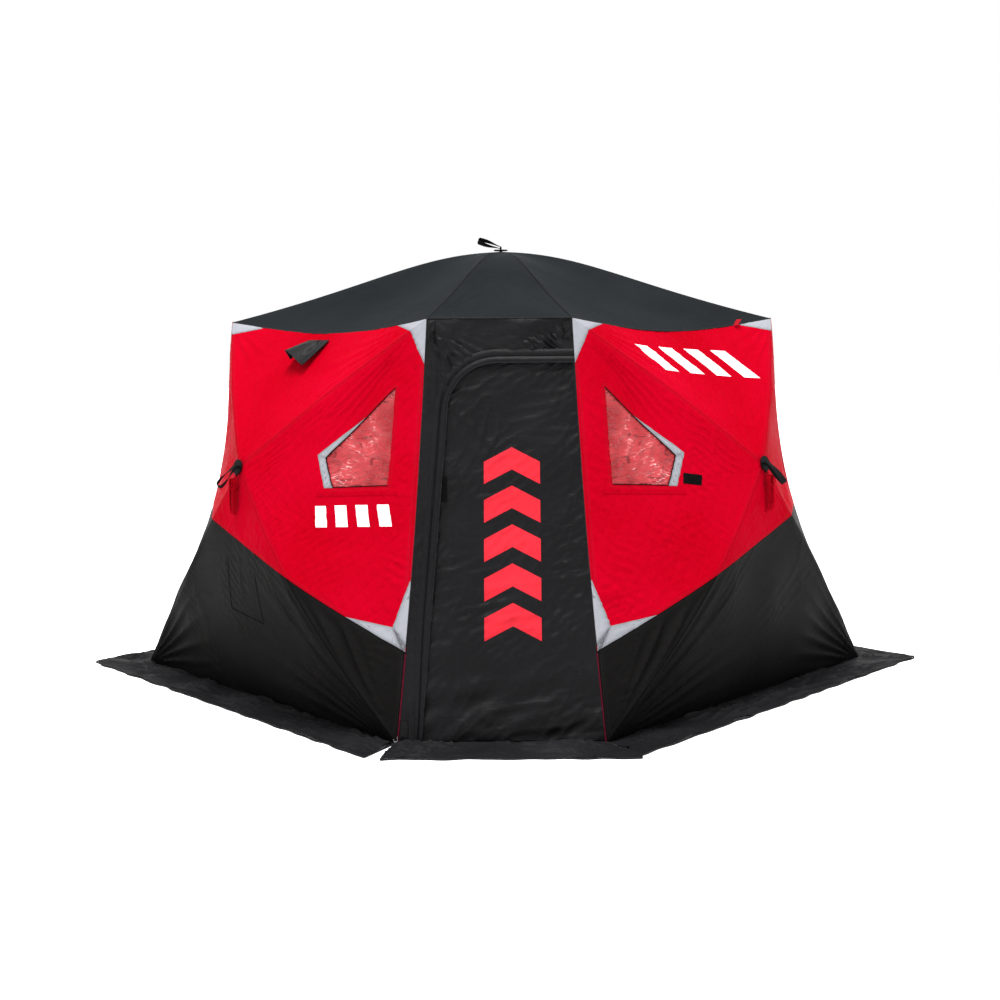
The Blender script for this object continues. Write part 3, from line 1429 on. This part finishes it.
def tube(name, line, radii, sides, look, ups=(0, 0, 1)):
    """A round tube along a line of points, closed at both ends, with its run and turn for the material."""
    line = np.asarray(line, float)
    radii = np.broadcast_to(radii, len(line))
    runs = np.gradient(line, axis=0)
    runs = runs / np.linalg.norm(runs, axis=1)[:, None]
    reference = unit(vec(*ups))
    points, cloth = [], []
    travelled = run_along(line)
    for number, (centre, run, radius) in enumerate(zip(line, runs, radii)):
        side = np.cross(run, reference)
        if np.linalg.norm(side) < 1e-6:
            side = np.cross(run, vec(1, 0, 0))
        side = unit(side)
        reference = np.cross(side, run)
        for turn in np.arange(sides) * 2 * math.pi / sides:
            points.append(centre + (side * math.cos(turn) + reference * math.sin(turn)) * radius)
            cloth.append((travelled[number], turn * radius))
    faces = []
    for ring in range(len(line) - 1):
        for i in range(sides):
            j = (i + 1) % sides
            a, b, c, d = ring * sides + i, ring * sides + j, (ring + 1) * sides + j, (ring + 1) * sides + i
            faces += [(a, b, c), (a, c, d)]
    for start, way in ((0, -1), ((len(line) - 1) * sides, 1)):
        for i in range(1, sides - 1):
            faces.append((start, start + i, start + i + 1)[::way])
    return put(name, np.array(points), np.array(faces), look, np.array(cloth))


def pole_line(length, rise, bow, skew, pivot_out, steps=40):
    """The pole's centreline from its hub pin to its corner, as (reach from the pin, height over the pin)."""

    def cloth_line(t):
        return rise * t + bow * math.sin(math.pi * t**skew)

    pivot_share = 1 - pivot_out / length
    spare = cloth_line(pivot_share) - POLE_DEPTH - (rise - PIVOT_DEPTH)
    points = []
    for t in np.linspace(pivot_share, TIP_RING, steps):
        reach = (1 - t) * length - pivot_out
        ease = max(0.0, 1 - reach / POLE_EASE) ** 2
        points.append((reach, cloth_line(t) - POLE_DEPTH - spare * ease - (rise - PIVOT_DEPTH)))
    return points


def build_pole(name, hub, way, out, length, rise, bow, skew, pivot_out):
    """A fibreglass pole with a steel ferrule at the hub end and a rounded tip.

    It bends between the shell, which holds its tip, and its hub.
    """
    pivot = hub + way * pivot_out - out * PIVOT_DEPTH
    line = [pivot + way * x + out * z for x, z in pole_line(length, rise, bow, skew, pivot_out)]
    tip_line = resample(np.array(line[-3:]), 8)
    rounding = np.linspace(-0.2, 1.0, 8).clip(0, 1) ** 4 * 0.8
    tip_radii = (POLE_RADIUS + TIP_WALL) * np.sqrt(np.clip(1 - rounding, 0.1, 1))
    parts = (
        ("rod", line, POLE_RADIUS, 12, "pole", "pole_fibreglass"),
        ("ferrule", line[1:5], POLE_RADIUS + FERRULE_WALL, 14, "ferrule", "hub_plastic"),
        ("pole_tip", tip_line, tip_radii, 12, "plastic", "hub_plastic"),
    )
    for kind, centre, radii, sides, look, slot in parts:
        part = tube(name.replace("pole", kind), centre, radii, sides, look, tuple(out))
        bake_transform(part)
        if kind == "rod":
            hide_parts(name)


def build_frame_poles(all_walls):
    for wall in all_walls:
        ends = ("door_foot", "side_foot", "side_top", "door_top")
        for end, corner, bow in zip(ends, wall.world_corners, WALL_BOWS):
            run = corner - wall.hub_foot
            build_pole(
                f"pole_{wall.name}_{end}", wall.hub, unit(run), wall.out, float(np.linalg.norm(run)),
                HUB_BULGE, bow, 1.0, PIVOT_OUT_WALL,
            )
    peak = vec(0, 0, PEAK_Z)
    places = ("front_right", "right", "back_right", "back_left", "left", "front_left")
    for place, corner in zip(places, roof_corners()):
        build_pole(
            f"pole_roof_{place}", peak, unit(corner), vec(0, 0, 1), float(np.linalg.norm(corner)),
            PEAK_Z - EAVE_Z, ROOF_BOW, ROOF_BOW_SKEW, PIVOT_OUT_ROOF,
        )


def loop_outline(steps=48):
    """The webbing loop's middle line, seen from its side: (reach from the bar, height)."""
    near, far = 0.0046, 0.0150
    outline = []
    for share in np.linspace(0, 1, steps, endpoint=False):
        turn = 2 * math.pi * share
        x = LOOP_REACH / 2 * (1 - math.cos(turn))
        beyond = (x - LOOP_REACH * 0.55) / (LOOP_REACH * 0.62)
        open_share = smooth_step(x / LOOP_REACH / 0.9) * math.sqrt(max(0.0, 1 - beyond**2))
        half = near + (far - near) * open_share
        z = half * (1 if turn < math.pi else -1) * min(1.0, abs(math.sin(turn)) * 2.6)
        outline.append((x * 1.10 - 0.004, z))
    return np.array(outline)


def build_strap(name, hub, level, out, down, swing):
    """A webbing loop round the staple's bar, sewn flat near the bar and sprung open beyond it."""
    bar = hub + out * BAR_HEIGHT
    lifted = unit(out - down * np.dot(out, down))
    along = down * math.cos(math.radians(swing)) + lifted * math.sin(math.radians(swing))
    across = unit(level)
    face = np.cross(along, across)
    if np.dot(face, out) < 0:
        face = -face
    thick, twist = 0.0026, math.radians(50)
    outline = loop_outline()
    tangent = np.roll(outline, -1, axis=0) - np.roll(outline, 1, axis=0)
    normal = np.stack([-tangent[:, 1], tangent[:, 0]], -1)
    normal = normal / np.linalg.norm(normal, axis=1)[:, None]
    widths = (-0.0125, -0.0118, -0.006, 0.0, 0.006, 0.0118, 0.0125)
    drops = (0.30, 1.0, 1.0, 1.0, 1.0, 1.0, 0.30)
    # Each ring of points goes over one face of the webbing and back over the other
    ring = [(1, i) for i in range(7)] + [(-1, i) for i in range(6, -1, -1)]
    points, cloth = [], []
    for middle, away, run in zip(outline, normal, run_along(outline)):
        for side, i in ring:
            x, z = middle + away * side * thick / 2 * drops[i]
            turn = twist * smooth_step(x / LOOP_REACH)
            level_way = across * math.cos(turn) + face * math.sin(turn)
            face_way = face * math.cos(turn) - across * math.sin(turn)
            points.append(bar + along * x + face_way * z + level_way * widths[i])
            cloth.append((run, widths[i]))
    faces = []
    for number in range(len(outline)):
        first, second = number * len(ring), (number + 1) % len(outline) * len(ring)
        for i in range(len(ring)):
            j = (i + 1) % len(ring)
            faces += [(first + i, second + i, second + j), (first + i, second + j, first + j)]
    loop_name = name.replace("pull_strap", "webbing_loop")
    loop = put(loop_name, np.array(points), np.array(faces), "webbing", np.array(cloth))
    fix_normals(loop)
    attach(loop, name)
    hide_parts(name)


def fix_normals(obj):
    bm = bmesh.new()
    bm.from_mesh(obj.data)
    bmesh.ops.recalc_face_normals(bm, faces=bm.faces)
    bm.to_mesh(obj.data)
    bm.free()


ROPE = 0.0040
TAB_DOWN = 0.036
TAB_OUT = 0.0075
# Each bight of the hank: its lowest point below the tab, and how wide it hangs
HANK_BIGHTS = (
    (0.150, 0.0125), (0.166, 0.0145), (0.132, 0.0120), (0.171, 0.0140), (0.143, 0.0150), (0.160, 0.0130),
)
HANK_STEPS = 30


def around_bight(share, fall, half):
    """(across, down) on a bight of two straight runs with round ends, from the top of its right run."""
    run = fall - 2 * half
    bend = math.pi * half
    at = share * 2 * (run + bend)
    if at < run:
        return half, half + at
    at -= run
    if at < bend:
        return half * math.cos(at / half), half + run + half * math.sin(at / half)
    at -= bend
    if at < run:
        return -half, half + run - at
    at -= run
    return -half * math.cos(at / half), half - half * math.sin(at / half)


def hank_route(seed):
    """The gathered rope as (across, up, out) from the tab: its bights, the wrap round them, its tail."""
    route = [(0.0, 0.0, 0.002), (0.002, -0.007, 0.0025), (0.008, -0.018, 0.003)]
    top, depth = -0.015, 0.003
    for number, (fall, half) in enumerate(HANK_BIGHTS):
        swing = 0.004 * math.sin(2.3 * number + seed)
        for step in range(HANK_STEPS):
            depth += 0.0042 / HANK_STEPS
            across, down = around_bight(step / HANK_STEPS, fall + top, half)
            route.append((across + swing * down / fall, top - down, depth))
    middle, wrap_half, wrap_deep = depth / 2 + 0.002, 0.0185, depth / 2 + 0.0035
    front = middle + wrap_deep
    route += [(0.0155, -0.026, front - 0.003), (0.0150, -0.037, front), (0.0095, -0.047, front)]
    wrap_turns, wrap_steps = 2.3, 60
    for step in range(wrap_steps + 1):
        turn = 2 * math.pi * wrap_turns * step / wrap_steps
        fall = -0.052 - 0.011 * step / wrap_steps
        route.append((-wrap_half * math.sin(turn), fall, middle + wrap_deep * math.cos(turn)))
    x, y, z = route[-1]
    tail = (
        (0.0015, -0.004, -0.006), (0.003, -0.013, -0.009), (0.004, -0.026, -0.009), (0.002, -0.105, -0.007),
    )
    return np.array(route + [(x + dx, y + dy, z + dz) for dx, dy, dz in tail])


def build_rope(wall):
    """The guy rope, gathered in bights that hang from the hub's tab and wrapped about its middle."""
    level = unit(np.cross(wall.up, wall.out))
    outward = unit(vec(wall.out[0], wall.out[1], 0))
    tab = wall.hub - wall.up * TAB_DOWN + wall.out * TAB_OUT
    line = smooth_line(hank_route(wall.seed), 460)
    world = np.array([tab + level * x + vec(0, 0, 1) * y + outward * z for x, y, z in line])
    rope = tube(f"guy_rope_{wall.name}", world, ROPE / 2, 8, "rope")
    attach(rope, wall.body)
    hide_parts(f"rope_hank_{wall.name}")
    knot = build_knot(wall, world[-1], unit(world[-1] - world[-4]))


def smooth_line(points, count):
    """A Catmull-Rom curve through the points, at equal steps."""
    fine = []
    padded = np.concatenate([points[:1] * 2 - points[1:2], points, points[-1:] * 2 - points[-2:-1]])
    for i in range(1, len(padded) - 2):
        p0, p1, p2, p3 = padded[i - 1 : i + 3]
        for t in np.linspace(0, 1, 8, endpoint=False):
            bend = 2 * p1 + (p2 - p0) * t + (2 * p0 - 5 * p1 + 4 * p2 - p3) * t**2
            fine.append(0.5 * (bend + (3 * p1 - p0 - 3 * p2 + p3) * t**3))
    fine.append(points[-1])
    return resample(np.array(fine), count)


def build_knot(wall, at, down):
    """An overhand knot at the rope's end, as a small trefoil pulled tight."""
    side = unit(np.cross(down, vec(0, 0, 1)) + vec(1e-6, 0, 0))
    front = np.cross(side, down)
    size, depth = 0.0017, 0.0016
    line = []
    for turn in np.linspace(0, 2 * math.pi, 49)[:-1]:
        x = (math.sin(turn) + 2 * math.sin(2 * turn)) * size
        y = (math.cos(turn) - 2 * math.cos(2 * turn)) * size
        z = -math.sin(3 * turn) * depth
        line.append(at + down * (0.0045 + y) + side * x + front * z)
    knot = tube(f"rope_knot_{wall.name}", np.array(line + line[:1]), ROPE / 2, 8, "rope")
    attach(knot, wall.body)
    return knot


def build_straps(all_walls):
    for wall in all_walls:
        level = np.cross(wall.up, wall.out)
        build_strap(f"pull_strap_{wall.name}", wall.hub, level, wall.out, vec(0, 0, -1), WALL_STRAP_SWING)
    peak, level, out, down = vec(0, 0, PEAK_Z), vec(0, -1, 0), vec(0, 0, 1), vec(-1, 0, 0)
    build_strap("pull_strap_roof", peak, level, out, down, 90 - ROOF_STRAP_SWING)


def dress_hubs(all_walls):
    """The hubs are the frame's own, in moulded plastic."""
    for name in [wall.body for wall in all_walls] + ["hub_roof"]:
        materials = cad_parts[name].data.materials
        materials.clear()
        materials.append(LOOKS["plastic"])


# ---------------------------------------------------------------- small parts on the walls


def build_small_parts(left, right):
    """The hook-and-loop patch, and the plain slanted bars printed on both front walls."""
    patch = [(0.545, 0.969), (0.633, 0.949), (0.649, 0.992), (0.558, 1.013)]
    build_decal(right, 3, "hook_and_loop_patch", [patch], "trim", 2 * LIFT)
    high_bars, low_bars = [], []
    for number in range(4):
        start, lean, wide = 0.600 + number * 0.195, 0.10, 0.105
        foot, top = 1.470 - number * 0.018, 1.600 - number * 0.012
        foot_side = [(start + lean, foot), (start + lean + wide, foot - 0.010)]
        high_bars.append([*foot_side, (start + wide, top - 0.008), (start, top)])
        start, top = 0.190 + number * 0.090, 0.930 - number * 0.014
        foot_side = [(start, top - 0.085), (start + 0.050, top - 0.092)]
        low_bars.append([*foot_side, (start + 0.078, top - 0.005), (start + 0.028, top + 0.002)])
    build_decal(right, 2, "eave_mark_right", high_bars, "mark_white", LIFT, sewn=False)
    build_decal(left, 3, "wall_mark_left", low_bars, "mark_white", LIFT, sewn=False)


def vent_place(wall):
    """The hood's own frame: its top edge on the wall's cloth, its plane swung open from there."""
    tree = BVHTree.FromPolygons(*(part.tolist() for part in wall.panels[2].grid(STEPS[2])))
    places = []
    for up in (VENT_AT[1], VENT_AT[1] - VENT_DROP):
        places.append(wall.place.world(np.array(tree.ray_cast((VENT_AT[0], up, 1), (0, 0, -1))[0])))
    along = wall.along
    fall = places[1] - places[0]
    fall = unit(fall - along * np.dot(fall, along))
    outward = np.cross(along, fall)
    outward = outward if np.dot(outward, wall.out) > 0 else -outward
    lean = math.radians(VENT_OPEN)
    down = fall * math.cos(lean) + outward * math.sin(lean)
    face = outward * math.cos(lean) - fall * math.sin(lean)
    return Place(places[0] + outward * 0.006, along, down, face)


def build_vent(wall):
    """The vent hood: a stiffened scoop of cloth, hinged along its top edge, with a bound lip.

    Its edge by the door lies on the wall, and its other edge stands up on a folded side.
    """
    place = vent_place(wall)
    columns, rows = 61, 41
    across, down = np.meshgrid(np.linspace(-1, 1, columns), np.linspace(0, 1, rows))
    a, b = across.ravel(), down.ravel()
    top_face = 2 * (np.minimum(a, VENT_FOLD) + 1) / (VENT_FOLD + 1) - 1
    side_face = np.clip((a - VENT_FOLD) / (1 - VENT_FOLD), 0, 1)
    half = VENT_HALF * (1 - (1 - VENT_LIP_SHARE) * b)
    x = VENT_SLANT * b + half * top_face + 0.008 * side_face * b
    drop = VENT_DROP + (VENT_DOOR_DROP - VENT_DROP) * (1 - top_face) / 2
    points = np.stack([x, 0.002 + drop * b - 0.006 * side_face * b, 0 * a], -1)

    def height(p, q):
        raised = (0.052 * smooth_step((top_face + 1) / 1.9) - 0.018) * b
        side = -0.054 * side_face * b
        valley = top_face + 0.05 + 0.45 * b
        dent = -0.016 * np.exp(-((valley / 0.16) ** 2)) * np.sin(math.pi * np.clip(b / 0.78, 0, 1)) ** 0.7
        puff = 0.006 * np.exp(-(((top_face - 0.45) / 0.35) ** 2)) * np.sin(math.pi * np.clip(b / 0.85, 0, 1))
        wrinkles = 0.002 * creases(871, a * 0.1, b * 0.13, 1.2, 0.4, 0.05) * (1 - np.abs(a) ** 4)
        return 0.003 + raised + side + dent + puff + wrinkles

    lip = VENT_HALF * VENT_LIP_SHARE
    borders = [
        ((-VENT_HALF, 0), (VENT_HALF, 0)),
        ((VENT_SLANT - lip, VENT_DOOR_DROP), (VENT_SLANT + lip, VENT_DROP)),
    ]
    hood = cloth_piece(
        "vent_scoop", place, folded(facing((points, grid_triangles(rows, columns))), height), "door",
        borders, 0.0, 0.0024,
    )
    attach(hood, "vent_hood")
    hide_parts("vent_hood")
    rim = at_height(points[-columns:, :2], 0.0)
    rim[:, 2] = height(0, 0)[-columns:]
    bead("vent_lip", place.world(rim), 0.0022, "binding", "vent_hood")
    tape = at_height(points[:columns, :2], 0.002)
    bead("vent_hinge_tape", place.world(tape), 0.0022, "binding")


def build_tab(wall):
    """A folded red tab sewn into the eave seam."""
    line = eave_points(wall, 200)
    run = wall.place.local(line)[:, 0]
    at = line[int(np.argmin(np.abs(run - 1.53)))]
    outward = unit(vec(wall.out[0], wall.out[1], 0))
    level = unit(vec(-wall.along[0], -wall.along[1], 0))
    place = Place(at, level, unit(outward * 0.5 + vec(0, 0, 1)), outward)
    sheet = box_grid(-0.020, 0.020, -0.006, 0.030, 0.004)
    tab = cloth_piece(
        "eave_tab", place, folded(sheet, lambda x, y: 0.004 + 6.0 * np.maximum(y, 0) ** 2), "mark_red",
        [], 0.0, 0.002,
    )
    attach(tab, "root")


def build_pocket_outline(wall):
    """A pocket sewn inside the left lower wall shows as a raised stitched outline."""
    corners = [(1.120, 0.598), (1.128, 0.385), (0.856, 0.352), (0.872, 0.560)]
    outline = [strip(a, b, 0.004) for a, b in zip(corners, corners[1:])]
    build_decal(wall, 0, "pocket_seam", outline, "trim", LIFT, sewn=False)


def build_hook(wall):
    """A wire hook at the foot of the front left corner."""
    at = wall.door_foot + wall.out * 0.006
    bend = 0.0075
    line = [at + vec(bend, -0.004, 0.034)]
    for turn in np.linspace(0, -1.15 * math.pi, 18):
        line.append(at + vec(bend * math.cos(turn), -0.004, 0.020 + bend * math.sin(turn)))
    hook = tube("corner_hook", np.array(line), 0.0016, 8, "ferrule")
    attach(hook, "root")


def main():
    make_camera()
    make_looks()
    all_walls = walls()
    for wall in all_walls:
        build_rope(wall)
    make_studio()
    for wall in all_walls:
        build_wall_cloth(wall)
        build_patches(wall)
        build_window(wall)
        build_wall_edges(wall)
    build_side_seam(all_walls[0], "left")
    build_side_seam(all_walls[1], "right")
    build_roof(all_walls)
    for name, front in (("front", -1), ("back", 1)):
        build_door(Door(name, front))
    build_skirts()
    build_frame_poles(all_walls)
    build_straps(all_walls)
    dress_hubs(all_walls)
    build_small_parts(all_walls[0], all_walls[1])
    build_vent(all_walls[0])
    build_tab(all_walls[1])
    build_pocket_outline(all_walls[0])
    build_hook(all_walls[0])


main()
